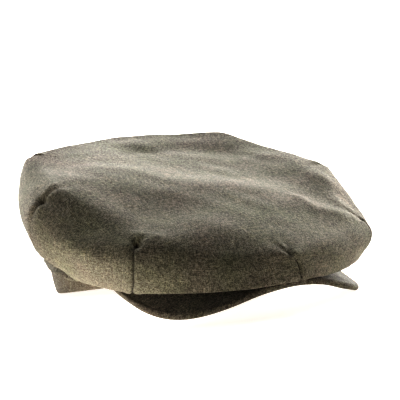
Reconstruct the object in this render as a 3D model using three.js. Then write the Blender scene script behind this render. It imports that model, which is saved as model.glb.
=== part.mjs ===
// A flat cap: a wide round crown with eight darts round its edge, a short band and a stiff curved peak.
// Millimetres, +Z up, the floor is z = 0, the peak faces -Y and the wearer's left is +X.
// The cap rests by itself: on the back of its band, which lies flat, and on the two sides of its peak.
import * as THREE from "three";

// Head opening: the outside of the band is an oval round a 57 cm head
const BAND_HALF_LENGTH = 101;
const BAND_HALF_WIDTH = 84.5;
const BAND_THICKNESS = 2.4;
// The band's lower edge lies on the floor behind this y and rises evenly towards the front
const BAND_FLAT_FROM = 57;
const BAND_RISE = 0.142;
// Over the peak the band stands higher, and comes down to its even rise in so many degrees past the peak
const BAND_LIFT_ON_PEAK = 5.5;
const BAND_STEP_DOWN = 10;

// Cloth of the crown
const CROWN_WALL = 2;
// On the inside of the crown's wall only every second ring of the side is kept
const INSIDE_RING_STEP = 2;
// Air between pieces that are sewn together
const SEAM_GAP = 0.3;

// The peak: an arched plate from under the band's front, a little past it, to a broader outer curve
const PEAK_MARGIN = 0.5;
const PEAK_END_ANGLE = 59;
const PEAK_THICKNESS = 4.6;
const PEAK_HALF_WIDTH = 83;
const PEAK_SIDE_Y = -45;
const PEAK_REACH = 107;
const PEAK_SQUARENESS = 3.14;
const PEAK_SLOPE = 0.371;
const PEAK_ARCH = 0.0048;
const PEAK_STATIONS = 46;
const PEAK_ROWS = 7;
const PEAK_NOSE_STEPS = 4;

// The eight darts, counted from the front: how far each tip stands out and up from the even row of tips,
// how far the rim hangs lower under it, how deep the cloth is pinched in at the tip, how many degrees its
// seam leans round at the tip and at the rim, and how far the edge swells up between it and the next dart
const DART_STEP = 45;
const DARTS = [
  { name: "front", out: 7, up: 1.5, sag: -3.9, pinch: 1.2, lean: -2, lowLean: 2, puff: 0 },
  { name: "front left", out: 2.2, up: -5.2, sag: 2, pinch: 2, lean: 5, lowLean: 0, puff: 0 },
  { name: "left", out: -1.5, up: 4.6, sag: 0, pinch: 1.2, lean: 0, lowLean: 0, puff: 0 },
  { name: "back left", out: -2, up: 3.6, sag: 0, pinch: 2, lean: 0, lowLean: 0, puff: 0 },
  { name: "back", out: -7.5, up: -4.5, sag: 0, pinch: 2, lean: 0, lowLean: 0, puff: 0 },
  { name: "back right", out: -1.5, up: 1.2, sag: -1.8, pinch: 2.5, lean: 0, lowLean: 0, puff: 0 },
  { name: "right", out: -4.5, up: 1.9, sag: 3.1, pinch: 2.5, lean: 0, lowLean: -8, puff: 0 },
  { name: "front right", out: 3.3, up: 1.5, sag: 4.2, pinch: 2.5, lean: -2, lowLean: -12, puff: 1.5 },
];
const PINCH_WIDTH = 2.6;

// Rows of the crown. front and back are the y of the row at x = 0, side is its half width, frontZ and backZ
// are its heights there. corner is 0 for a round row and 1 for one that runs straight from dart to dart.
// follow, lean, lowLean, puff, sag and pinch are the shares of the darts' values that the row takes, 0 where
// none is given. groove is the depth of the seams that run down from the darts, and steps is the number of
// rings from the row to the next.
const EVEN_ROW = { follow: 0, lean: 0, lowLean: 0, puff: 0, sag: 0, pinch: 0, groove: 0 };
const TIPS = {
  ...EVEN_ROW, name: "dart tips", front: -150.3, back: 97, side: 120.5, frontZ: 36.9, backZ: 113.4,
  corner: 0.97, follow: 1, lean: 1, puff: 0.35, pinch: 1, steps: 3,
};
const SIDE_ROWS = [
  TIPS,
  { ...EVEN_ROW, name: "widest", front: -154.5, back: 106.5, side: 124.9, frontZ: 28.4, backZ: 93.7,
    corner: 0.5, follow: 0.7, lean: 0.2, lowLean: 0.15, sag: 0.4, pinch: 0.1, groove: 0.6, steps: 3 },
  { ...EVEN_ROW, name: "lower side", front: -157, back: 110.5, side: 117, frontZ: 21.5, backZ: 61,
    corner: 0.35, follow: 0.2, lowLean: 0.5, sag: 1, groove: 0.7, steps: 3 },
  { ...EVEN_ROW, name: "rim", front: -156, back: 108.5, side: 102.5, frontZ: 15.8, backZ: 36,
    corner: 0.15, lowLean: 1, sag: 0.8, groove: 0.7, steps: 2 },
  { ...EVEN_ROW, name: "tuck", front: -147, back: 107.5, side: 98.5, frontZ: 20.8, backZ: 29.5,
    corner: 0.05, lowLean: 0.8, sag: 0.5, groove: 0.4, steps: 2 },
  { ...EVEN_ROW, name: "lip", front: -124, back: 108.5, side: 94.7, frontZ: 24.5, backZ: 22,
    corner: 0, lowLean: 0.3, sag: 0.2, groove: 0.2, steps: 2 },
  { ...EVEN_ROW, name: "band seam", front: -101, back: 105, side: 88.3, frontZ: 39, backZ: 20.5,
    corner: 0, steps: 0 },
];
// Rows of the top: share of the dart tips' row, and how far the top is domed above the plane of the tips
const TOP_ROWS = [
  { name: "centre", share: 0, dome: 4.7, corner: 0, follow: 0, puff: 0, steps: 5 },
  { name: "inner top", share: 0.45, dome: 4.5, corner: 0, follow: 0.1, puff: 0.2, steps: 4 },
  { name: "outer top", share: 0.8, dome: 3.5, corner: 0.35, follow: 0.5, puff: 1, steps: 3 },
];

// Where rows of the side are turned up or hang lower, and stand further out or in, over some degrees
const SIDE_FOLDS = [
  { name: "side raised above the rim", row: "lower side", angle: 256, width: 18, lift: 3.5, out: -1.5 },
  { name: "rim turned up at the right", row: "rim", angle: 262, width: 18, lift: 12, out: 0 },
  { name: "tuck under it", row: "tuck", angle: 262, width: 18, lift: 6, out: 0 },
  { name: "roll below the tuck", row: "lip", angle: 282, width: 8, lift: -2.5, out: 0 },
  { name: "roll drawn up behind it", row: "lip", angle: 243, width: 14, lift: 5, out: 0 },
  { name: "soft edge at the front right", row: "dart tips", angle: 297, width: 13, lift: -2.5, out: 1 },
  { name: "swelling under it", row: "widest", angle: 299, width: 16, lift: -1, out: 5 },
  { name: "soft edge at the front", row: "dart tips", angle: 345, width: 13, lift: -2.5, out: 0 },
  { name: "swelling at the front", row: "widest", angle: 342, width: 16, lift: 0, out: 3 },
  { name: "front left edge drawn in", row: "dart tips", angle: 45, width: 12, lift: 0, out: -3 },
  { name: "swelling at the front left", row: "widest", angle: 45, width: 14, lift: 0, out: 1.2 },
  { name: "edge sagging behind it", row: "dart tips", angle: 57, width: 9, lift: -1.5, out: 0 },
  { name: "edge sagging at the back left", row: "dart tips", angle: 118, width: 14, lift: -1.4, out: 0 },
];

// Soft folds of the top: each runs along a path of x, y points and raises or lowers the cloth
const FOLDS = [
  { name: "broad ridge from the right dart to the front", height: 6, width: 40,
    path: [[-96, -34], [-84, -26], [-64, -24], [-42, -38], [-18, -52], [12, -78]] },
  { name: "lower ridge on to the front left dart", path: [[50, -98], [80, -112]], height: 2, width: 22 },
  { name: "crest on the ridge", height: 1.2, width: 14,
    path: [[-55, 2], [-26, -18], [-14, -38], [6, -52], [24, -64], [50, -66]] },
  { name: "hollow before the back edge", path: [[-7, 42], [25, 36], [60, 21]], height: -2, width: 14 },
  { name: "ridge in from the left dart", path: [[66, -4], [98, -2]], height: 0.6, width: 9 },
  { name: "ridge along the left front edge", path: [[96, -14], [98, -44], [84, -88]], height: 1, width: 9 },
  { name: "swelling inside that ridge", path: [[88, -34], [94, -50]], height: 1.5, width: 18 },
  { name: "ridge at the front left dart", height: 1.3, width: 7,
    path: [[53, -88], [54, -105], [70, -113], [84, -112]] },
  { name: "ridge at the front right dart", path: [[-98, -96], [-76, -114]], height: 1.5, width: 6 },
];
// The folds fade out between this row and the dart tips, counted in rows from the centre
const FOLD_FADE_FROM = 2.2;

// Angles of the crown's and band's stations inside one dart's sector, closer together at the dart
const SECTOR_ANGLES = [0, 1.8, 4.2, 8, 14, 22.5, 31, 37, 40.8, 43.2];

// Olive grey linen, a little darker on the peak
const CROWN_COLOUR = 0x857f6d;
const BAND_COLOUR = 0x857f6d;
const PEAK_COLOUR = 0x6f6958;
const CLOTH_ROUGHNESS = 0.92;

const DEGREE = Math.PI / 180;
const clamp = (value, low, high) => Math.min(Math.max(value, low), high);
const mix = (a, b, share) => a + (b - a) * share;
const smooth = (share) => {
  const t = clamp(share, 0, 1);
  return t * t * (3 - 2 * t);
};

// All stations round the cap, in degrees from the front towards +X
const stations = DARTS.flatMap((dart, index) => SECTOR_ANGLES.map((angle) => index * DART_STEP + angle));

// A value of the darts' table, run straight from each dart to the next
function betweenDarts(angle, column) {
  const place = angle / DART_STEP;
  const index = Math.floor(place) % DARTS.length;
  const next = (index + 1) % DARTS.length;
  return mix(DARTS[index][column], DARTS[next][column], place - Math.floor(place));
}

// Degrees to the nearest dart
function fromDart(angle) {
  const rest = angle % DART_STEP;
  return Math.min(rest, DART_STEP - rest);
}

// 1 on a round row, down to the chord's share where the row runs straight from dart to dart
function cornerFactor(angle, corner) {
  const half = DART_STEP / 2;
  const chord = Math.cos(half * DEGREE) / Math.cos((half - fromDart(angle)) * DEGREE);
  return 1 + corner * (chord - 1);
}

// Swelling of the edge from one dart to the next
function puffBetween(angle) {
  const place = angle / DART_STEP;
  return DARTS[Math.floor(place) % DARTS.length].puff * Math.abs(Math.sin(Math.PI * place));
}

// Degrees from one angle to another the short way round
const turnTo = (from, to) => ((to - from + 540) % 360) - 180;

// What the side folds add to a row: its lift or how far it stands out
function sideFolds(name, angle, column) {
  return SIDE_FOLDS.filter((fold) => fold.row === name).reduce((sum, fold) => (
    sum + fold[column] * Math.exp(-((turnTo(fold.angle, angle) / fold.width) ** 2))
  ), 0);
}

// A point of one row of the crown
function rowPoint(row, angle) {
  const lean = row.lean * betweenDarts(angle, "lean") + row.lowLean * betweenDarts(angle, "lowLean");
  const turned = angle + lean;
  const sine = Math.sin(turned * DEGREE);
  const cosine = -Math.cos(turned * DEGREE);
  const round = cornerFactor(angle, row.corner);
  const out = row.follow * betweenDarts(angle, "out") + sideFolds(row.name, angle, "out");
  const stretch = 1 + out / TIPS.side;
  const middle = (row.front + row.back) / 2;
  const halfLength = (row.back - row.front) / 2;
  const middleZ = (row.frontZ + row.backZ) / 2;
  const halfRise = (row.backZ - row.frontZ) / 2;
  return new THREE.Vector3(
    row.side * round * stretch * sine,
    middle + halfLength * round * stretch * cosine,
    middleZ + halfRise * round * cosine
      + row.follow * betweenDarts(angle, "up") + row.puff * puffBetween(angle)
      - row.sag * betweenDarts(angle, "sag") + sideFolds(row.name, angle, "lift"),
  );
}

// A row of the top is the row of the tips, shrunk towards its middle and domed
function topRow({ share, dome, corner, follow, puff, steps }) {
  const toMiddle = (a, b, side) => mix((a + b) / 2, side, share);
  return {
    ...EVEN_ROW,
    front: toMiddle(TIPS.front, TIPS.back, TIPS.front),
    back: toMiddle(TIPS.front, TIPS.back, TIPS.back),
    side: TIPS.side * share,
    frontZ: toMiddle(TIPS.frontZ, TIPS.backZ, TIPS.frontZ) + dome,
    backZ: toMiddle(TIPS.frontZ, TIPS.backZ, TIPS.backZ) + dome,
    corner,
    follow,
    puff,
    steps,
  };
}

const CROWN_ROWS = [...TOP_ROWS.map(topRow), ...SIDE_ROWS];

// Distance in plan from a point to a path
function distanceToPath(x, y, path) {
  let nearest = Infinity;
  for (let index = 0; index + 1 < path.length; index += 1) {
    const [startX, startY] = path[index];
    const runX = path[index + 1][0] - startX;
    const runY = path[index + 1][1] - startY;
    const along = ((x - startX) * runX + (y - startY) * runY) / (runX * runX + runY * runY);
    const share = clamp(along, 0, 1);
    nearest = Math.min(nearest, Math.hypot(x - startX - share * runX, y - startY - share * runY));
  }
  return nearest;
}

// Height that the folds add at a point of the top
function foldHeight(x, y) {
  return FOLDS.reduce((sum, { path, height, width }) => (
    sum + height * Math.exp(-((distanceToPath(x, y, path) / width) ** 2))
  ), 0);
}

// Catmull-Rom curve through four values
function catmullRom(a, b, c, d, t) {
  const startSlope = (c - a) / 2;
  const endSlope = (d - b) / 2;
  return (2 * b - 2 * c + startSlope + endSlope) * t ** 3
    + (3 * c - 3 * b - 2 * startSlope - endSlope) * t ** 2
    + startSlope * t + b;
}

// The crown's outside along one station, from the middle of the top down to the band's seam
function crownProfile(angle) {
  const keys = CROWN_ROWS.map((row) => rowPoint(row, angle));
  const before = keys[0].clone().multiplyScalar(2).sub(keys[1]);
  const last = keys.length - 1;
  const after = keys[last].clone().multiplyScalar(2).sub(keys[last - 1]);
  const all = [before, ...keys, after];
  const points = [];
  CROWN_ROWS.forEach((row, index) => {
    const next = CROWN_ROWS[Math.min(index + 1, last)];
    for (let step = 0; step < Math.max(row.steps, 1); step += 1) {
      const t = row.steps ? step / row.steps : 0;
      const curve = (axis) => (index < last
        ? catmullRom(all[index][axis], all[index + 1][axis], all[index + 2][axis], all[index + 3][axis], t)
        : keys[last][axis]);
      const point = new THREE.Vector3(curve("x"), curve("y"), curve("z"));
      const fade = 1 - smooth((index + t - FOLD_FADE_FROM) / (TOP_ROWS.length - FOLD_FADE_FROM));
      point.z += fade * foldHeight(point.x, point.y);
      const pinch = mix(row.pinch, next.pinch, smooth(t)) * betweenDarts(angle, "pinch");
      pullInAtDart(point, angle, pinch + mix(row.groove, next.groove, t));
      points.push(point);
    }
  });
  return points;
}

// Pulls the cloth in by a depth at a dart, and less and less beside it
function pullInAtDart(point, angle, depth) {
  const near = depth * Math.exp(-((fromDart(angle) / PINCH_WIDTH) ** 2));
  point.x -= near * Math.sin(angle * DEGREE);
  point.y += near * Math.cos(angle * DEGREE);
}

// Crown

// The inside of the cloth: the outside moved in by the wall, square to the surface
function innerPoints(rings) {
  const count = stations.length;
  const lastRing = rings.length - 1;
  return rings.map((ring, index) => ring.map((point, station) => {
    const above = rings[Math.max(index - 1, 0)];
    const below = rings[Math.min(index + 1, lastRing)];
    const across = ring[(station + 1) % count].clone().sub(ring[(station + count - 1) % count]);
    const down = below[station].clone().sub(above[station]);
    const outwards = index === 0 ? new THREE.Vector3(0, 0, 1) : down.cross(across).normalize();
    return point.clone().addScaledVector(outwards, -CROWN_WALL);
  }));
}

function buildCrown() {
  const profiles = stations.map(crownProfile);
  const rings = profiles[0].map((_, ring) => profiles.map((profile) => profile[ring]));
  const inside = innerPoints(rings);
  const topRings = TOP_ROWS.reduce((sum, row) => sum + row.steps, 0);
  const keptInside = inside.filter((_, ring) => (
    ring <= topRings || (rings.length - 1 - ring) % INSIDE_RING_STEP === 0
  ));
  const skin = [...rings.slice(1), ...keptInside.slice(1).reverse()];
  return ringSolid("crown", skin, { start: rings[0][0], end: inside[0][0], color: CROWN_COLOUR });
}

// Band

// Height of the band's lower edge: flat on the floor at the back, lifted by the peak in front
function bandLowerEdge(point, angle) {
  const even = BAND_RISE * Math.max(BAND_FLAT_FROM - point.y, 0);
  const fromFront = Math.min(angle, 360 - angle);
  return even + BAND_LIFT_ON_PEAK * (1 - smooth((fromFront - PEAK_END_ANGLE) / BAND_STEP_DOWN));
}

// A point moved towards the cap's middle, along its station
function movedInPlan(point, angle, distance) {
  return new THREE.Vector3(
    point.x - distance * Math.sin(angle * DEGREE),
    point.y + distance * Math.cos(angle * DEGREE),
    point.z,
  );
}

function buildBand() {
  const seam = SIDE_ROWS[SIDE_ROWS.length - 1];
  const outerTop = stations.map((angle) => rowPoint(seam, angle).add(new THREE.Vector3(0, 0, -SEAM_GAP)));
  const innerTop = outerTop.map((point, index) => movedInPlan(point, stations[index], BAND_THICKNESS));
  const edge = (inset) => stations.map((angle) => {
    const point = ovalPoint(angle, inset);
    point.z = bandLowerEdge(point, angle);
    return point;
  });
  const rings = [innerTop, outerTop, edge(0), edge(BAND_THICKNESS), innerTop];
  return ringSolid("band", rings, { color: BAND_COLOUR });
}

// A point of the head opening's oval at z = 0
function ovalPoint(angle, inset) {
  return new THREE.Vector3(
    (BAND_HALF_WIDTH - inset) * Math.sin(angle * DEGREE),
    -(BAND_HALF_LENGTH - inset) * Math.cos(angle * DEGREE),
    0,
  );
}

// Peak

// A point of the peak's outer curve, share running from -1 on the right to 1 on the left
function peakOuterPoint(share) {
  const turn = (share * Math.PI) / 2;
  const power = 2 / PEAK_SQUARENESS;
  const x = PEAK_HALF_WIDTH * Math.sign(turn) * Math.abs(Math.sin(turn)) ** power;
  const y = PEAK_SIDE_Y - PEAK_REACH * Math.abs(Math.cos(turn)) ** power;
  return new THREE.Vector3(x, y, 0);
}

// Height of the underside along the outer curve, above the level where it would touch the floor
const outerCurveRise = (point) => PEAK_SLOPE * point.y - PEAK_ARCH * point.x ** 2;
const peakShares = Array.from({ length: PEAK_STATIONS + 1 }, (_, index) => (2 * index) / PEAK_STATIONS - 1);
// The peak is set down so that the lowest points of its two sides touch the floor
const lowestRise = Math.min(...peakShares.map((share) => outerCurveRise(peakOuterPoint(share))));

// Height of the peak's underside where it lies under the band
function rootHeight(point, share) {
  return bandLowerEdge(point, Math.abs(share) * PEAK_END_ANGLE) - SEAM_GAP - PEAK_THICKNESS;
}

// Section of the peak at one station: along the top, round the nose and back underneath
function peakSection(share) {
  const angle = share * PEAK_END_ANGLE;
  const root = ovalPoint(angle, BAND_THICKNESS);
  const foot = ovalPoint(angle, -PEAK_MARGIN);
  const outer = peakOuterPoint(share);
  const outwards = outer.clone().sub(foot).normalize();
  const half = PEAK_THICKNESS / 2;
  const nose = outer.clone().addScaledVector(outwards, -half);
  root.z = rootHeight(root, share);
  foot.z = rootHeight(foot, share);
  nose.z = outerCurveRise(outer) - lowestRise;
  const underside = [root];
  for (let row = 0; row <= PEAK_ROWS; row += 1) underside.push(foot.clone().lerp(nose, row / PEAK_ROWS));
  const top = underside.map((point) => point.clone().setZ(point.z + PEAK_THICKNESS));
  const round = [];
  for (let step = 1; step < PEAK_NOSE_STEPS; step += 1) {
    const tilt = Math.PI / 2 - (Math.PI * step) / PEAK_NOSE_STEPS;
    const point = nose.clone().addScaledVector(outwards, half * Math.cos(tilt));
    point.z = nose.z + half + half * Math.sin(tilt);
    round.push(point);
  }
  return [...top, ...round, ...underside.reverse()];
}

function buildPeak() {
  return stripSolid("peak", peakShares.map(peakSection), { color: PEAK_COLOUR });
}

// Solids from points

function meshFrom(name, points, faces, color) {
  const geometry = new THREE.BufferGeometry();
  const places = points.flatMap((point) => point.toArray());
  geometry.setAttribute("position", new THREE.Float32BufferAttribute(places, 3));
  geometry.setIndex(faces.flat());
  geometry.computeVertexNormals();
  const cloth = new THREE.MeshStandardMaterial({ color, roughness: CLOTH_ROUGHNESS, metalness: 0 });
  const mesh = new THREE.Mesh(geometry, cloth);
  mesh.name = name;
  return mesh;
}

// A solid whose skin is a stack of closed rings, either closed on itself or with a point at each end
function ringSolid(name, rings, { start, end, color }) {
  const count = rings[0].length;
  const closed = start === undefined;
  const used = closed ? rings.slice(0, -1) : rings;
  const points = used.flat();
  const at = (ring, station) => (ring % used.length) * count + (station % count);
  const faces = [];
  for (let ring = 0; ring + 1 < rings.length; ring += 1) {
    for (let station = 0; station < count; station += 1) {
      const a = at(ring, station);
      const b = at(ring, station + 1);
      const c = at(ring + 1, station);
      const d = at(ring + 1, station + 1);
      faces.push([a, c, d], [a, d, b]);
    }
  }
  if (!closed) {
    const first = points.push(start) - 1;
    const final = points.push(end) - 1;
    for (let station = 0; station < count; station += 1) {
      faces.push([first, at(0, station), at(0, station + 1)]);
      faces.push([final, at(used.length - 1, station + 1), at(used.length - 1, station)]);
    }
  }
  return meshFrom(name, points, faces, color);
}

// Triangles across a closed section, zigzag between its two sides
function capTriangles(count) {
  const triangles = [];
  let low = 0;
  let high = count - 1;
  while (low + 1 < high) {
    triangles.push([low, high, low + 1]);
    low += 1;
    if (low + 1 < high) {
      triangles.push([low, high, high - 1]);
      high -= 1;
    }
  }
  return triangles;
}

// A solid whose skin is a row of closed sections, with a flat cap on the first and the last
function stripSolid(name, sections, { color }) {
  const count = sections[0].length;
  const points = sections.flat();
  const faces = [];
  for (let section = 0; section + 1 < sections.length; section += 1) {
    for (let corner = 0; corner < count; corner += 1) {
      const a = section * count + corner;
      const b = section * count + ((corner + 1) % count);
      faces.push([a, b, b + count], [a, b + count, a + count]);
    }
  }
  const lastStart = (sections.length - 1) * count;
  capTriangles(count).forEach(([a, b, c]) => {
    faces.push([a, b, c], [lastStart + a, lastStart + c, lastStart + b]);
  });
  return meshFrom(name, points, faces, color);
}

// The frame's origin is under the middle of the whole cap
const pieces = [buildCrown(), buildBand(), buildPeak()];
const bounds = new THREE.Box3();
pieces.forEach((piece) => bounds.expandByObject(piece));
const middle = bounds.getCenter(new THREE.Vector3());
pieces.forEach((piece) => piece.geometry.translate(-middle.x, -middle.y, -bounds.min.z));

const cap = new THREE.Group();
cap.name = "flat_cap";
cap.add(...pieces);

export default cap;
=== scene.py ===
import math
from collections import namedtuple

import bpy
import numpy as np
from mathutils import Matrix, Vector


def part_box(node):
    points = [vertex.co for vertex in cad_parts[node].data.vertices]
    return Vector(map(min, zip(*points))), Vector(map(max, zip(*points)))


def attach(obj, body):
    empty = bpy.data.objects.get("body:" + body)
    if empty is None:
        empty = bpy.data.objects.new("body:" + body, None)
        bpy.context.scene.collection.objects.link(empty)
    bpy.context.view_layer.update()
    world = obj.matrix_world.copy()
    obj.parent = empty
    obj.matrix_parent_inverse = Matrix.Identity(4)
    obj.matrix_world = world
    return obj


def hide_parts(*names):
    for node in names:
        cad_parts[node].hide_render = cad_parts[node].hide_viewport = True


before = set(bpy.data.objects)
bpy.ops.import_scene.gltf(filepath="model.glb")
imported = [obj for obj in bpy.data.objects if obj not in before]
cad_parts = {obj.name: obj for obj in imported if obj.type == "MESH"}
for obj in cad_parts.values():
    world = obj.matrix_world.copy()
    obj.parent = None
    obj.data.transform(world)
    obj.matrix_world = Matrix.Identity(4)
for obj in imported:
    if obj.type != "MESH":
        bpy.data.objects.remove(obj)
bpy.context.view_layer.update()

# The cap is worked out in millimetres, in a plan that has the front of the band at BAND_FRONT_Y, and moved to
# the frame by the place of the band's node
MM = 0.001
BAND_FRONT_Y = -101.0
band_low, band_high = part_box("band")
SHIFT = np.array([
    (band_low.x + band_high.x) / 2 / MM,
    band_low.y / MM - BAND_FRONT_Y,
    0.0,
])

# Darts, counted from the front towards +X: shifts of the tip, sag of the rim, depth of the pinch and of the
# pit at the tip, height of the small folds round it, how strong the seam is (its groove, its ridges and the
# painted shade in the groove), and how far the dart leans round at its tip and at the rim, in degrees
DART_COUNT = 8
DART_STEP = 360 / DART_COUNT
DARTS = {
    "out": [7, 2.2, -1.5, -2, -7.5, -1.5, -4.5, 3.3],
    "up": [1.5, -5.2, 4.6, 3.6, -4.5, 1.2, 1.9, 1.5],
    "sag": [-3.9, 2, 0, 0, 0, -1.8, 3.1, 4.2],
    "pinch": [1.2, 2, 1.2, 2, 2, 2.5, 2.5, 2.5],
    "pit": [1.3, 0.5, 0.5, 0.4, 0.4, 1, 4, 3.5],
    "small folds": [0.4, 0.3, 0.3, 0.2, 0.2, 0.5, 0.7, 0.7],
    "seam": [1, 0.8, 0.8, 0.8, 0.8, 0.8, 0.35, 1],
    "lean": [-2, 5, 0, 0, 0, 0, 0, -2],
    "low lean": [1, 0, 0, 0, 0, 0, -8, -12],
}
# Share of the lean and of the low lean that each row takes
LEANS = {
    "tips": (1, 0),
    "widest": (0.2, 0.15),
    "lower side": (0, 0.5),
    "rim": (0, 1),
    "tuck": (0, 0.8),
    "lip": (0, 0.3),
}
PINCH_WIDTH = 2.6
# Swelling of the edge between each dart and the next
PUFFS = (0, 0, 0, 0, 0, 0, 0, 1.5)

# Rows of the crown. Front, back and side are how far the row reaches, front_z and back_z its heights, and
# corner says how straight it runs between darts. Follow, puff, sag and pinch are the shares that it takes of
# the darts' shifts and of the other values, groove is the depth of the groove below a dart, and steps is the
# number of steps to the next row.
Row = namedtuple("Row", "front back side front_z back_z corner follow puff sag pinch groove steps")
TIPS = Row(-150.3, 97, 120.5, 36.9, 113.4, 0.97, 1, 0.35, 0, 1, 0, 17)
SIDE_ROWS = {
    "tips": TIPS,
    "widest": Row(-154.5, 106.5, 124.9, 28.4, 93.7, 0.5, 0.7, 0, 0.4, 0.1, 0.6, 15),
    "lower side": Row(-157, 110.5, 117, 21.5, 61, 0.35, 0.2, 0, 1, 0, 0.7, 14),
    "rim": Row(-156, 108.5, 102.5, 15.8, 36, 0.15, 0, 0, 0.8, 0, 0.7, 11),
    "tuck": Row(-147, 107.5, 98.5, 20.8, 29.5, 0.05, 0, 0, 0.5, 0, 0.4, 9),
    "lip": Row(-124, 108.5, 94.7, 24.5, 22, 0, 0, 0, 0.2, 0, 0.2, 13),
    "seam": Row(-101, 105, 88.3, 39, 20.5, 0, 0, 0, 0, 0, 0, 0),
}
# Rows of the top, from its middle out: share of the tips' row, and how far the row is raised
TOP_ROWS = (
    {"share": 0, "dome": 4.7, "corner": 0, "follow": 0, "puff": 0, "steps": 30},
    {"share": 0.45, "dome": 4.5, "corner": 0, "follow": 0.1, "puff": 0.2, "steps": 28},
    {"share": 0.8, "dome": 3.5, "corner": 0.35, "follow": 0.5, "puff": 1, "steps": 20},
)
TIP_ROW = len(TOP_ROWS)
# Where the folds of the top begin to fade towards the tips, counted in rows
FOLD_FADE_FROM = 2.2

# Parts of the side rows that are turned up, hang lower or stand out: row, angle, width in degrees, lift, out
SIDE_FOLDS = (
    ("lower side", 256, 18, 3.5, -1.5),
    ("rim", 262, 18, 12, 0),
    ("tuck", 264, 16, 6, -6),
    ("lip", 282, 8, -2.5, 0),
    ("lip", 276, 12, 0, 3),
    ("lip", 243, 14, 5, 0),
    ("tips", 297, 13, -2.5, 1),
    ("widest", 299, 16, -1, 5),
    ("tips", 345, 13, -2.5, 0),
    ("widest", 342, 16, 0, 0.5),
    ("lower side", 342, 26, 0, 2.2),
    ("rim", 342, 26, 0, 4.5),
    ("tips", 45, 12, 0, -3),
    ("tips", 57, 9, -1.5, 0),
    ("tips", 118, 14, -1.4, 0),
    ("widest", 45, 14, 0, 1.2),
)

# Folds of the top: path, height, width
FOLDS = (
    (((-96, -34), (-84, -26), (-64, -24), (-42, -38), (-18, -52), (12, -78)), 6, 40),
    (((50, -98), (80, -112)), 2, 22),
    (((-55, 2), (-26, -18), (-14, -38), (6, -52), (24, -64), (50, -66)), 1.2, 14),
    (((-7, 42), (25, 36), (60, 21)), -2, 14),
    (((66, -4), (98, -2)), 0.6, 9),
    (((96, -14), (98, -44), (84, -88)), 1, 9),
    (((88, -34), (94, -50)), 1.5, 18),
    (((53, -88), (54, -105), (70, -113), (84, -112)), 1.3, 7),
    (((-98, -96), (-76, -114)), 1.5, 6),
)

# Soft waves of the cloth: height, shortest and longest wave, number of waves, seed
Waves = namedtuple("Waves", "height shortest longest count seed")
CROWN_WAVES = Waves(0.3, 45, 90, 24, 11)
CROWN_RIPPLES = Waves(0.1, 14, 26, 30, 12)
BAND_WAVES = Waves(0.18, 20, 45, 16, 5)
PEAK_WAVES = Waves(0.25, 25, 60, 20, 21)
# Heights where the crown's long waves and the peak's waves begin, and how much higher they are full
CROWN_WAVES_FROM, CROWN_WAVES_FADE = 24, 10
PEAK_WAVES_FROM, PEAK_WAVES_FADE = 3, 5

# Seam below a dart's tip: its groove, the line of painted shade in it, and the soft ridge on each side
SEAM_DEPTH, SEAM_WIDTH = 1.1, 0.8
SEAM_LINE_WIDTH = 0.65
SEAM_RIDGE_HEIGHT, SEAM_RIDGE_AT, SEAM_RIDGE_WIDTH = 0.6, 3.6, 2.4
# How far above the tips' row a seam begins, and how long it takes to deepen, in rows
SEAM_BEGINS, SEAM_DEEPENS = 0.02, 0.12
# Small folds round a dart's tip: their number, turn from one dart to the next, reach, and the bare middle
FOLD_RAYS, FOLD_RAYS_TURN = 4, 1.7
FOLD_RAYS_REACH, FOLD_RAYS_MIDDLE = 15, 4
PIT_RADIUS = 3.2

# Cloth of the crown: its thickness, the radius by which a length round its side is worked out, and the number
# of stations between two darts, which crowd towards the darts
CROWN_WALL = 1.8
CROWN_RADIUS = 118
SECTOR_STATIONS = 54
SECTOR_CROWDING = 0.8
INSIDE_ROW_STEP = 3
# The weave is drawn a little larger on the top
TOP_UV_SCALE = 0.8
# Air where the crown, the band and the peak are sewn together
SEAM_GAP = 0.3

# Band: its lower edge is level behind BAND_FLAT_FROM, rises evenly towards the front, and lies higher on the
# peak, with a step at each end of the peak that is BAND_STEP_DOWN degrees long
BAND_HALF_LENGTH = -BAND_FRONT_Y
BAND_HALF_WIDTH = 84.5
BAND_RADIUS = 93
BAND_THICKNESS = 2.4
BAND_BULGE = 0.5
BAND_FLAT_FROM = 57.0
BAND_RISE = 0.142
BAND_LIFT_ON_PEAK = 5.5
BAND_STEP_DOWN = 10.0
BAND_OUTSIDE_ROWS = 15
BAND_EDGE_ROWS = 9
BAND_INSIDE_ROWS = 9

# Peak: it starts PEAK_MARGIN outside the band, its outline is a squared half oval in front of PEAK_SIDE_Y,
# and it slopes down to the front and arches across
PEAK_MARGIN = 0.5
PEAK_END_ANGLE = 59.0
PEAK_THICKNESS = 4.6
PEAK_HALF_WIDTH = 83.0
PEAK_SIDE_Y = -45.0
PEAK_REACH = 107.0
PEAK_SQUARENESS = 3.14
PEAK_SLOPE = 0.371
PEAK_ARCH = 0.0048
PEAK_OUTLINE_POINTS = 2001
PEAK_STATIONS = 181
PEAK_ROWS = 26
PEAK_NOSE_ROWS = 13


def smooth(t):
    t = np.clip(t, 0, 1)
    return t * t * (3 - 2 * t)


def between_darts(angle, column):
    """A value of the darts' table, run straight from each dart to the next"""
    place = (angle % 360) / DART_STEP
    index = np.floor(place).astype(int) % DART_COUNT
    table = np.array(DARTS[column], float)
    share = place - np.floor(place)
    return table[index] * (1 - share) + table[(index + 1) % DART_COUNT] * share


def from_dart(angle):
    """Degrees from the nearest dart"""
    rest = angle % DART_STEP
    return np.minimum(rest, DART_STEP - rest)


def puff_between(angle):
    """Swelling of the edge, none at the darts"""
    place = (angle % 360) / DART_STEP
    return np.array(PUFFS, float)[np.floor(place).astype(int) % DART_COUNT] * np.abs(np.sin(math.pi * place))


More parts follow.
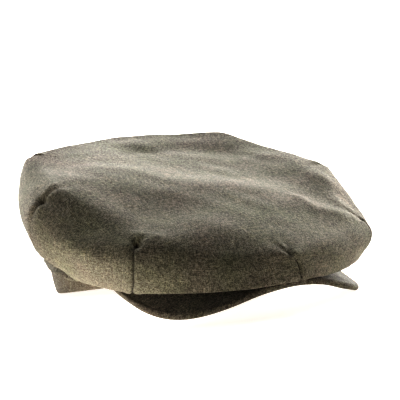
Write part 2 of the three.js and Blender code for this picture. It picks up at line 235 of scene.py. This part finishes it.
def corner_factor(angle, corner):
    """How far out an edge runs that cuts straight from dart to dart by the share corner"""
    half = DART_STEP / 2
    chord = math.cos(math.radians(half)) / np.cos(np.radians(half - from_dart(angle)))
    return 1 + corner * (chord - 1)


def row_points(row, angle, name):
    """Points of one row at all the angles"""
    high_lean, low_lean = LEANS.get(name, (0, 0))
    turned = angle + high_lean * between_darts(angle, "lean") + low_lean * between_darts(angle, "low lean")
    sine = np.sin(np.radians(turned))
    cosine = -np.cos(np.radians(turned))
    corner = corner_factor(angle, row.corner)
    out = row.follow * between_darts(angle, "out")
    z = (row.front_z + row.back_z) / 2 + (row.back_z - row.front_z) / 2 * corner * cosine
    z = z + row.follow * between_darts(angle, "up") + row.puff * puff_between(angle)
    z = z - row.sag * between_darts(angle, "sag")
    for row_name, at, width, lift, outward in SIDE_FOLDS:
        if row_name == name:
            share = np.exp(-(((angle - at + 180) % 360 - 180) / width) ** 2)
            z = z + lift * share
            out = out + outward * share
    stretch = 1 + out / TIPS.side
    return np.stack([
        row.side * corner * stretch * sine,
        (row.front + row.back) / 2 + (row.back - row.front) / 2 * corner * stretch * cosine,
        z,
    ], -1)


def top_row(share, dome, corner, follow, puff, steps):
    """A row inside the tips' row, at a share of its size"""
    middle = (TIPS.front + TIPS.back) / 2
    middle_z = (TIPS.front_z + TIPS.back_z) / 2
    return Row(
        front=middle + share * (TIPS.front - middle),
        back=middle + share * (TIPS.back - middle),
        side=TIPS.side * share,
        front_z=middle_z + share * (TIPS.front_z - middle_z) + dome,
        back_z=middle_z + share * (TIPS.back_z - middle_z) + dome,
        corner=corner, follow=follow, puff=puff, sag=0, pinch=0, groove=0, steps=steps,
    )


def distance_to_path(x, y, path):
    """Distance in plan to the nearest point of a path"""
    nearest = np.full(np.shape(x), np.inf)
    for (x0, y0), (x1, y1) in zip(path, path[1:]):
        run_x, run_y = x1 - x0, y1 - y0
        share = np.clip(((x - x0) * run_x + (y - y0) * run_y) / (run_x ** 2 + run_y ** 2), 0, 1)
        nearest = np.minimum(nearest, np.hypot(x - x0 - share * run_x, y - y0 - share * run_y))
    return nearest


def fold_height(x, y):
    """Height that the folds of the top add"""
    return sum(height * np.exp(-(distance_to_path(x, y, path) / width) ** 2) for path, height, width in FOLDS)


def catmull_rom(a, b, c, d, t):
    """A point between b and c on a smooth curve through the four points"""
    start, end = (c - a) / 2, (d - b) / 2
    return (2 * b - 2 * c + start + end) * t ** 3 + (3 * c - 3 * b - 2 * start - end) * t ** 2 + start * t + b


def wave_field(points, waves):
    """A smooth random height from waves of many directions, about as high as waves says"""
    rng = np.random.default_rng(waves.seed)
    total = np.zeros(points.shape[:-1])
    for _ in range(waves.count):
        direction = rng.normal(size=3)
        direction /= np.linalg.norm(direction)
        length = rng.uniform(waves.shortest, waves.longest)
        total += np.sin(points @ direction * (2 * math.pi / length) + rng.uniform(0, 2 * math.pi))
    return waves.height * (total / math.sqrt(waves.count / 2))


def grid_normals(points):
    """Normals of a grid of rows by stations that closes round its stations"""
    across = np.roll(points, -1, 1) - np.roll(points, 1, 1)
    down = np.gradient(points, axis=0)
    normal = np.cross(down, across)
    length = np.linalg.norm(normal, axis=-1, keepdims=True)
    return normal / np.maximum(length, 1e-9)


def crown_stations():
    """Angles of the stations round the cap, crowded towards the darts"""
    t = np.arange(SECTOR_STATIONS) / SECTOR_STATIONS
    inside = DART_STEP * (t - SECTOR_CROWDING * np.sin(2 * math.pi * t) / (2 * math.pi))
    return np.concatenate([inside + DART_STEP * index for index in range(DART_COUNT)])


def crown_grid(angle):
    """The crown's outside: rows from the middle of the top to the band's seam, and each row's place"""
    named = [("", top_row(**row)) for row in TOP_ROWS] + list(SIDE_ROWS.items())
    rows = [row for _, row in named]
    keys = [row_points(row, angle, name) for name, row in named]
    keys = [2 * keys[0] - keys[1], *keys, 2 * keys[-1] - keys[-2]]
    points, places = [], []
    for index, (row, following) in enumerate(zip(rows, rows[1:])):
        for step in range(row.steps):
            t = step / row.steps
            point = catmull_rom(*keys[index:index + 4], t)
            fade = 1 - smooth((index + t - FOLD_FADE_FROM) / (TIP_ROW - FOLD_FADE_FROM))
            point[:, 2] += fade * fold_height(point[:, 0], point[:, 1])
            pinch = (row.pinch + (following.pinch - row.pinch) * smooth(t)) * between_darts(angle, "pinch")
            groove = row.groove + (following.groove - row.groove) * t
            depth = (pinch + groove) * np.exp(-(from_dart(angle) / PINCH_WIDTH) ** 2)
            point[:, 0] -= depth * np.sin(np.radians(angle))
            point[:, 1] += depth * np.cos(np.radians(angle))
            points.append(point)
            places.append(index + t)
    points.append(keys[-2])
    places.append(len(rows) - 1)
    return np.array(points), np.array(places)


def dart_relief(points, tip, index):
    """Small folds that run out from a dart's tip, and the pit at it"""
    offset = points - tip
    distance = np.linalg.norm(offset, axis=-1)
    angle = math.radians(index * DART_STEP)
    turn = np.arctan2(offset[..., 2], offset @ np.array([math.cos(angle), math.sin(angle), 0.0]))
    star = np.cos(FOLD_RAYS * turn + index * FOLD_RAYS_TURN) * np.exp(-(distance / FOLD_RAYS_REACH) ** 2)
    star *= 1 - np.exp(-(distance / FOLD_RAYS_MIDDLE) ** 2)
    pit = DARTS["pit"][index] * np.exp(-(distance / PIT_RADIUS) ** 2)
    return DARTS["small folds"][index] * star - pit


def crown_relief(base, places, angle):
    """Height of the fine relief of the crown's outside, and how much painted shade darkens the seam grooves
    """
    relief = wave_field(base, CROWN_WAVES) * smooth((base[..., 2] - CROWN_WAVES_FROM) / CROWN_WAVES_FADE)
    relief += wave_field(base, CROWN_RIPPLES)
    below = smooth((places[:, None] - TIP_ROW + SEAM_BEGINS) / SEAM_DEEPENS)
    below = below * np.array(DARTS["seam"])[np.round(angle / DART_STEP).astype(int) % DART_COUNT]
    distance = CROWN_RADIUS * np.radians(from_dart(angle))[None, :]
    relief -= below * SEAM_DEPTH * np.exp(-(distance / SEAM_WIDTH) ** 2)
    relief += below * SEAM_RIDGE_HEIGHT * np.exp(-((distance - SEAM_RIDGE_AT) / SEAM_RIDGE_WIDTH) ** 2)
    tips = base[places.tolist().index(TIP_ROW), ::SECTOR_STATIONS]
    for index, tip in enumerate(tips):
        relief += dart_relief(base, tip, index)
    return relief, below * np.exp(-(distance / SEAM_LINE_WIDTH) ** 2)


def band_lower_edge(point, angle):
    """Height of the band's lower edge, which is level at the back and higher over the peak"""
    even = BAND_RISE * np.maximum(BAND_FLAT_FROM - point[:, 1], 0)
    from_front = np.minimum(angle % 360, 360 - angle % 360)
    return even + BAND_LIFT_ON_PEAK * (1 - smooth((from_front - PEAK_END_ANGLE) / BAND_STEP_DOWN))


def oval(angle, inset):
    """The band's outline in plan, set in by inset"""
    angle = np.radians(angle)
    return np.stack([
        (BAND_HALF_WIDTH - inset) * np.sin(angle),
        -(BAND_HALF_LENGTH - inset) * np.cos(angle),
        np.zeros_like(angle),
    ], -1)


def peak_outline(share):
    """The peak's front edge in plan, from side to side as share goes from -1 to 1"""
    turn = share * math.pi / 2
    power = 2 / PEAK_SQUARENESS
    return np.stack([
        PEAK_HALF_WIDTH * np.sign(turn) * np.abs(np.sin(turn)) ** power,
        PEAK_SIDE_Y - PEAK_REACH * np.abs(np.cos(turn)) ** power,
        np.zeros_like(turn),
    ], -1)


# Making meshes

def new_object(name, points, faces):
    """A smooth mesh object, from points in metres"""
    mesh = bpy.data.meshes.new(name)
    mesh.from_pydata(points, [], faces)
    mesh.polygons.foreach_set("use_smooth", [True] * len(mesh.polygons))
    made = bpy.data.objects.new(name, mesh)
    bpy.context.scene.collection.objects.link(made)
    return made


def cloth_object(name, points, faces, uvs):
    """A piece of cloth, from points of the plan and a uv for each corner of each face"""
    made = new_object(name, (points + SHIFT) * MM, faces)
    layer = made.data.uv_layers.new(name="cloth")
    layer.data.foreach_set("uv", np.asarray(uvs, float).ravel())
    made.data.validate()
    made.data.update()
    return made


def grid_faces(rings, count):
    """Quads between the rows of a grid that closes round its stations"""
    ring = np.arange(rings - 1)[:, None] * count
    station = np.arange(count)[None, :]
    after = (station + 1) % count
    a, b = ring + station, ring + after
    c, d = ring + count + station, ring + count + after
    return np.stack([a, c, d, b], -1).reshape(-1, 4)


def lengths_down(grid):
    """Length along each station from the first row"""
    steps = np.linalg.norm(np.diff(grid, axis=0), axis=-1)
    return np.concatenate([np.zeros((1, grid.shape[1])), np.cumsum(steps, axis=0)])


def rolled_uv(grid, faces, angle, radius):
    """Uv of the corners of faces: the way round at a radius, and the length down"""
    along = lengths_down(grid)
    across = np.radians(angle)[None, :] * radius * np.ones_like(along)
    uv = np.stack([across, along], -1).reshape(-1, 2)[faces]
    station = faces % len(angle)
    wrapped = (station == 0) & (station.max(1) == len(angle) - 1)[:, None]
    uv[..., 0] += np.where(wrapped, 2 * math.pi * radius, 0)
    return uv


def build_crown():
    angle = crown_stations()
    base, places = crown_grid(angle)
    normal = grid_normals(base)
    relief, seam = crown_relief(base, places, angle)
    outside = base + normal * relief[..., None]
    outside[0] = outside[0].mean(0)
    inside = (outside - normal * CROWN_WALL)[::-1][::INSIDE_ROW_STEP]
    inside[-1] = inside[-1].mean(0)

    grid = np.concatenate([outside, inside])
    points = grid.reshape(-1, 3)
    faces = grid_faces(len(grid), len(angle))
    is_top = np.arange(len(points)) < (places <= TIP_ROW).sum() * len(angle)
    top_faces = is_top[faces].all(1)[:, None, None]
    flat = TOP_UV_SCALE * points[:, :2]
    uv = np.where(top_faces, flat[faces], rolled_uv(grid, faces, angle, CROWN_RADIUS))
    crown = cloth_object("crown_cloth", points, faces.tolist(), uv)
    # The seam attribute holds painted shade for the seam grooves
    dark = crown.data.attributes.new("seam", "FLOAT", "POINT")
    dark.data.foreach_set("value", np.concatenate([seam.ravel(), np.zeros(inside[..., 0].size)]))
    return crown


def build_band():
    angle = crown_stations()
    top = row_points(SIDE_ROWS["seam"], angle, "seam")
    top[:, 2] -= SEAM_GAP
    bottom = oval(angle, 0)
    bottom[:, 2] = band_lower_edge(bottom, angle)
    inward = np.stack([-np.sin(np.radians(angle)), np.cos(np.radians(angle)), np.zeros_like(angle)], -1)
    rows = []
    for t in np.linspace(0, 1, BAND_OUTSIDE_ROWS)[:-1]:
        bulge = BAND_BULGE * math.sin(math.pi * t)
        rows.append(top + (bottom - top) * t - inward * bulge)
    half = BAND_THICKNESS / 2
    for turn in np.linspace(0, math.pi, BAND_EDGE_ROWS):
        point = bottom + inward * half * (1 - math.cos(turn))
        point[:, 2] += half * (1 - math.sin(turn))
        rows.append(point)
    inner_top = top + inward * BAND_THICKNESS
    inner_bottom = bottom + inward * BAND_THICKNESS
    for t in np.linspace(0, 1, BAND_INSIDE_ROWS)[1:]:
        rows.append(inner_bottom + (inner_top - inner_bottom) * t)
    grid = np.array(rows)
    grid += wave_field(grid, BAND_WAVES)[..., None] * inward
    grid = np.concatenate([grid, grid[:1]])
    faces = grid_faces(len(grid), len(angle))
    uv = rolled_uv(grid, faces, angle, BAND_RADIUS)
    return cloth_object("band_cloth", grid.reshape(-1, 3), faces.tolist(), uv)


def peak_faces(rings):
    """Quads round the peak's rings, and strips that close its two ends"""
    faces = []
    for ring in range(rings):
        a, b = ring * PEAK_STATIONS, (ring + 1) % rings * PEAK_STATIONS
        faces += [(a + s, b + s, b + s + 1, a + s + 1) for s in range(PEAK_STATIONS - 1)]
    for edge, direction in ((0, 1), (PEAK_STATIONS - 1, -1)):
        low, high = 0, rings - 1
        while low + 1 < high:
            strip = [low, high, high - 1, low + 1] if low + 2 < high else [low, high, low + 1]
            faces.append(tuple(ring * PEAK_STATIONS + edge for ring in strip[::direction]))
            low, high = low + 1, high - 1
    return faces


def build_peak():
    # Stations even along the outer curve
    fine = np.linspace(-1, 1, PEAK_OUTLINE_POINTS)
    length = np.concatenate([[0], np.cumsum(np.linalg.norm(np.diff(peak_outline(fine), axis=0), axis=1))])
    share = np.interp(np.linspace(0, length[-1], PEAK_STATIONS), length, fine)
    share[0], share[-1] = -1, 1
    outer = peak_outline(share)
    rise = PEAK_SLOPE * outer[:, 1] - PEAK_ARCH * outer[:, 0] ** 2
    angle = share * PEAK_END_ANGLE
    root = oval(angle, BAND_THICKNESS)
    foot = oval(angle, -PEAK_MARGIN)
    for point in (root, foot):
        point[:, 2] = band_lower_edge(point, np.abs(angle)) - SEAM_GAP - PEAK_THICKNESS
    outwards = outer - foot
    outwards[:, 2] = 0
    outwards /= np.linalg.norm(outwards, axis=1, keepdims=True)
    half = PEAK_THICKNESS / 2
    nose = outer - outwards * half
    nose[:, 2] = rise - rise.min()

    # Rings over the top, round the nose and back along the underside
    under = [root] + [foot + (nose - foot) * t for t in np.linspace(0, 1, PEAK_ROWS)]
    rows = [point + np.array([0, 0, PEAK_THICKNESS]) for point in under]
    for turn in np.linspace(math.pi / 2, -math.pi / 2, PEAK_NOSE_ROWS)[1:-1]:
        raised = np.array([0, 0, half + half * math.sin(turn)])
        rows.append(nose + outwards * half * math.cos(turn) + raised)
    rows += under[::-1]
    grid = np.array(rows)
    fade = smooth((grid[..., 2] - PEAK_WAVES_FROM) / PEAK_WAVES_FADE)
    grid[..., 2] += wave_field(grid, PEAK_WAVES) * fade
    rings = len(grid)
    points = grid.reshape(-1, 3)
    faces = peak_faces(rings)

    # The weave runs straight over the top and turns with the edge round the nose
    along = lengths_down(grid)
    edge_length = np.interp(share, fine, length)
    rolled = np.stack([edge_length[None, :] * np.ones_like(along), along], -1).reshape(-1, 2)
    ring = np.arange(len(points)) // PEAK_STATIONS
    is_nose = (ring >= len(under) - 1) & (ring <= rings - len(under))
    uv = [rolled[list(face)] if len(face) == 4 and is_nose[list(face)].all() else points[list(face), :2]
          for face in faces]
    return cloth_object("peak_cloth", points, faces, np.concatenate(uv))


# Materials

def new_material(name):
    """A material, its node tree and its shader"""
    material = bpy.data.materials.new(name)
    material.use_nodes = True
    return material, material.node_tree, material.node_tree.nodes["Principled BSDF"]


def linen(name, dark, light, seed):
    """Plain weave linen, mottled and flecked, worked out from the uv map in millimetres"""
    material, tree, shader = new_material(name)
    nodes, link = tree.nodes, tree.links.new
    shader.inputs["Roughness"].default_value = 0.93
    shader.inputs["Specular IOR Level"].default_value = 0.18
    shader.inputs["Sheen Weight"].default_value = 0.08
    shader.inputs["Sheen Roughness"].default_value = 0.45
    shader.inputs["Sheen Tint"].default_value = (0.95, 0.92, 0.82, 1)

    uv_map = nodes.new("ShaderNodeUVMap")
    uv_map.uv_map = "cloth"
    uv = uv_map.outputs["UV"]
    object_place = nodes.new("ShaderNodeTexCoord").outputs["Object"]

    def noise(scale, detail, offset, stretch=(1, 1, 1), source=uv):
        mapping = nodes.new("ShaderNodeMapping")
        mapping.inputs["Location"].default_value = (offset, offset * 1.7, seed)
        mapping.inputs["Scale"].default_value = stretch
        link(source, mapping.inputs["Vector"])
        texture = nodes.new("ShaderNodeTexNoise")
        texture.inputs["Scale"].default_value = scale
        texture.inputs["Detail"].default_value = detail
        texture.inputs["Roughness"].default_value = 0.6
        link(mapping.outputs["Vector"], texture.inputs["Vector"])
        return texture.outputs["Fac"]

    def ramp(value, *stops):
        """Colours by value; each stop is a value and its colour"""
        node = nodes.new("ShaderNodeValToRGB")
        elements = node.color_ramp.elements
        while len(elements) < len(stops):
            elements.new(0.5)
        for element, (at, colour) in zip(elements, stops):
            element.position = at
            element.color = (*colour, 1)
        link(value, node.inputs["Fac"])
        return node.outputs["Color"]

    def multiply(colour, by, factor=1.0):
        node = nodes.new("ShaderNodeMix")
        node.data_type = "RGBA"
        node.blend_type = "MULTIPLY"
        node.inputs["Factor"].default_value = factor
        link(colour, node.inputs["A"])
        link(by, node.inputs["B"])
        return node.outputs["Result"]

    def maths(operation, a, b):
        node = nodes.new("ShaderNodeMath")
        node.operation = operation
        link(a, node.inputs[0])
        if isinstance(b, float):
            node.inputs[1].default_value = b
        else:
            link(b, node.inputs[1])
        return node.outputs["Value"]

    def wave(direction):
        texture = nodes.new("ShaderNodeTexWave")
        texture.bands_direction = direction
        texture.inputs["Scale"].default_value = 0.45
        texture.inputs["Distortion"].default_value = 1.2
        texture.inputs["Detail"].default_value = 1
        link(uv, texture.inputs["Vector"])
        return texture.outputs["Fac"]

    white = (1, 1, 1)
    warp = noise(scale=1.3, detail=1, offset=3.1, stretch=(0.45, 1.5, 1))
    weft = noise(scale=1.3, detail=1, offset=9.7, stretch=(1.5, 0.45, 1))
    threads = maths("ADD", warp, weft)
    flecks = ramp(maths("MULTIPLY", threads, 0.5), (0.38, dark), (0.62, light))
    grain = noise(scale=2.1, detail=0, offset=5.3)
    grain = ramp(grain, (0.34, (0.5, 0.475, 0.43)), (0.66, (1.52, 1.51, 1.52)))
    colour = multiply(flecks, grain, 0.9)
    # Thicker threads here and there, seen as long light streaks
    for offset, stretch in ((31.0, (0.07, 1.4, 1)), (47.0, (1.4, 0.07, 1))):
        slubs = noise(scale=0.9, detail=0, offset=offset, stretch=stretch)
        colour = multiply(colour, ramp(slubs, (0.66, white), (0.74, (1.35, 1.34, 1.3))))
    # Soft patches that are a little greener or redder, by place in metres
    patches = noise(scale=26, detail=3, offset=1.3, source=object_place)
    tint = ramp(patches, (0.3, (0.93, 1.0, 0.88)), (0.5, white), (0.7, (1.08, 0.98, 1.02)))
    colour = multiply(colour, tint, 0.8)
    # Painted shade: the colour is darkened in the seam grooves by the attribute that the cloth carries
    seam = nodes.new("ShaderNodeAttribute")
    seam.attribute_name = "seam"
    colour = multiply(colour, ramp(seam.outputs["Fac"], (0.0, white), (1.0, (0.2, 0.19, 0.17))))
    link(colour, shader.inputs["Base Color"])

    weave = maths("MULTIPLY", wave("X"), wave("Y"))
    bump = nodes.new("ShaderNodeBump")
    bump.inputs["Strength"].default_value = 0.5
    bump.inputs["Distance"].default_value = 0.0003
    link(maths("ADD", weave, maths("MULTIPLY", threads, 1.5)), bump.inputs["Height"])
    link(bump.outputs["Normal"], shader.inputs["Normal"])
    return material


def glowing(name, grey, strength, tint=(1, 1, 1)):
    """A matt surface that gives off light"""
    material, _, shader = new_material(name)
    shader.inputs["Base Color"].default_value = (*[grey * share for share in tint], 1)
    shader.inputs["Roughness"].default_value = 0.9
    shader.inputs["Emission Color"].default_value = (*tint, 1)
    shader.inputs["Emission Strength"].default_value = strength
    return material


# Pieces: each with its node and slot, and with the dark and the light colour and the seed of its linen. The
# band's and the peak's linen are darker copies of the crown's, painted shade for the shade that falls on them
# under the crown

crown_cloth = build_crown()
band_cloth = build_band()
peak_cloth = build_peak()
PIECES = (
    (crown_cloth, "crown", "crown_cloth", (0.072, 0.064, 0.043), (0.255, 0.235, 0.18), 2.0),
    # Band and peak: the crown's linen made darker, painted shade
    (band_cloth, "band", "band_cloth", (0.045, 0.038, 0.025), (0.17, 0.152, 0.11), 8.0),
    (peak_cloth, "peak", "peak_cloth", (0.042, 0.035, 0.024), (0.17, 0.152, 0.112), 15.0),
)
for piece, node, slot, dark, light, seed in PIECES:
    piece.data.materials.append(linen(f"{node} linen", dark, light, seed))
    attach(piece, "root")
    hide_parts(node)

# Floor and backdrop

FLOOR_RADIUS = 6.0
FLOOR_STEP_DEGREES = 5
FLOOR_GREY = 0.5
# The floor is a lit table: its even glow, and brighter patches by middle, glow, where it falls off and ends
TABLE_GLOW = 0.25
TABLE_PATCHES = (((-0.03, 0.02, 0), 0.78, 0.13, 0.24), ((-0.105, -0.035, 0), 2.8, 0.0, 0.1))
TABLE_TINT = (1, 0.955, 0.89)
WALL_RADIUS = 3.0
WALL_GREY = 0.8
# The wall stands round the cap except on the camera's side: azimuths of the start and end of each panel, its
# height and its glow
WALL_PANELS = ((32, 97, 0.8, 1.3), (97, 190, 1.6, 28.0), (190, 282, 0.8, 2.2))


def stage_object(name, points, faces, material):
    """A part of the floor or backdrop, from points in metres"""
    made = new_object(name, points, faces)
    made.data.materials.append(material)
    return made


def build_floor():
    turns = np.radians(np.arange(0, 360, FLOOR_STEP_DEGREES))
    points = [(FLOOR_RADIUS * math.sin(turn), -FLOOR_RADIUS * math.cos(turn), 0) for turn in turns]
    material = glowing("floor white", FLOOR_GREY, 1.0, TABLE_TINT)
    nodes, link = material.node_tree.nodes, material.node_tree.links.new
    place = nodes.new("ShaderNodeTexCoord").outputs["Object"]
    even = nodes.new("ShaderNodeValue")
    even.outputs["Value"].default_value = TABLE_GLOW
    glow = even.outputs["Value"]
    for middle, strength, fall_start, fall_end in TABLE_PATCHES:
        distance = nodes.new("ShaderNodeVectorMath")
        distance.operation = "DISTANCE"
        distance.inputs[1].default_value = middle
        fall = nodes.new("ShaderNodeMapRange")
        fall.interpolation_type = "SMOOTHSTEP"
        fall.inputs["From Min"].default_value = fall_start
        fall.inputs["From Max"].default_value = fall_end
        fall.inputs["To Min"].default_value = strength
        fall.inputs["To Max"].default_value = 0
        added = nodes.new("ShaderNodeMath")
        link(place, distance.inputs[0])
        link(distance.outputs["Value"], fall.inputs["Value"])
        link(fall.outputs["Result"], added.inputs[0])
        link(glow, added.inputs[1])
        glow = added.outputs["Value"]
    link(glow, nodes["Principled BSDF"].inputs["Emission Strength"])
    stage_object("floor", points, [tuple(range(len(points)))], material)


def build_wall():
    for index, (start, end, height, strength) in enumerate(WALL_PANELS):
        turns = np.radians(np.arange(start, end + 1, 1))
        points = [(WALL_RADIUS * math.sin(turn), -WALL_RADIUS * math.cos(turn), z)
                  for turn in turns for z in (0, height)]
        faces = [(2 * k, 2 * k + 2, 2 * k + 3, 2 * k + 1) for k in range(len(turns) - 1)]
        material = glowing(f"backdrop white {index}", WALL_GREY, strength)
        stage_object(f"backdrop_{index}", points, faces, material).visible_shadow = False


build_floor()
build_wall()

# Light

WORLD_COLOUR = (1, 0.8, 0.5, 1)
WORLD_STRENGTH = 0.015


def toward(azimuth, elevation):
    """The direction of an azimuth and a height, both in radians, from the cap"""
    return (
        math.sin(azimuth) * math.cos(elevation),
        -math.cos(azimuth) * math.cos(elevation),
        math.sin(elevation),
    )


def sun(name, azimuth, elevation, spread, strength):
    """Soft light of one direction; azimuth as the camera's, and all three angles in degrees"""
    data = bpy.data.lights.new(name, "SUN")
    data.energy = strength
    data.angle = math.radians(spread)
    light = bpy.data.objects.new(name, data)
    direction = Vector(toward(math.radians(azimuth), math.radians(elevation)))
    light.rotation_euler = direction.to_track_quat("Z", "Y").to_euler()
    bpy.context.scene.collection.objects.link(light)


sun("back key", azimuth=158, elevation=45, spread=40, strength=4.1)

world = bpy.data.worlds.new("studio")
bpy.context.scene.world = world
world.use_nodes = True
world.node_tree.nodes["Background"].inputs["Color"].default_value = WORLD_COLOUR
world.node_tree.nodes["Background"].inputs["Strength"].default_value = WORLD_STRENGTH

# Camera: azimuth, height and roll, its distance from a point in the crown, and where that point stands in the
# picture

AZIMUTH = math.radians(-28.824)
ELEVATION = math.radians(5.947)
ROLL = math.radians(-4.477)
DISTANCE = 1030.0
TARGET = np.array([0.0, 0.0, 46.35])
TARGET_PIXEL = (173.145, 223.878)
FOCAL_PIXELS = 1416.155
FRAME_PIXELS = 400
SENSOR = 36.0
VIEW_GAMMA = 0.72

back = np.array(toward(AZIMUTH, ELEVATION))
level = np.array([math.cos(AZIMUTH), math.sin(AZIMUTH), 0.0])
upright = np.cross(back, level)
right = math.cos(ROLL) * level + math.sin(ROLL) * upright
up = -math.sin(ROLL) * level + math.cos(ROLL) * upright
place = TARGET + DISTANCE * back
aim = TARGET \
    + (FRAME_PIXELS / 2 - TARGET_PIXEL[0]) / FOCAL_PIXELS * DISTANCE * right \
    + (TARGET_PIXEL[1] - FRAME_PIXELS / 2) / FOCAL_PIXELS * DISTANCE * up
# The camera is turned, not shifted, so that the target lands on its pixel
back = (place - aim) / np.linalg.norm(place - aim)
right = np.cross(up, back)
right /= np.linalg.norm(right)
up = np.cross(back, right)
camera_data = bpy.data.cameras.new("camera")
camera_data.sensor_width = SENSOR
camera_data.lens = FOCAL_PIXELS / FRAME_PIXELS * SENSOR
camera = bpy.data.objects.new("camera", camera_data)
rotation = Matrix([right, up, back]).transposed().to_4x4()
camera.matrix_world = Matrix.Translation(Vector((place + SHIFT) * MM)) @ rotation
bpy.context.scene.collection.objects.link(camera)
bpy.context.scene.camera = camera
bpy.context.scene.view_settings.view_transform = "Standard"
bpy.context.scene.view_settings.gamma = VIEW_GAMMA
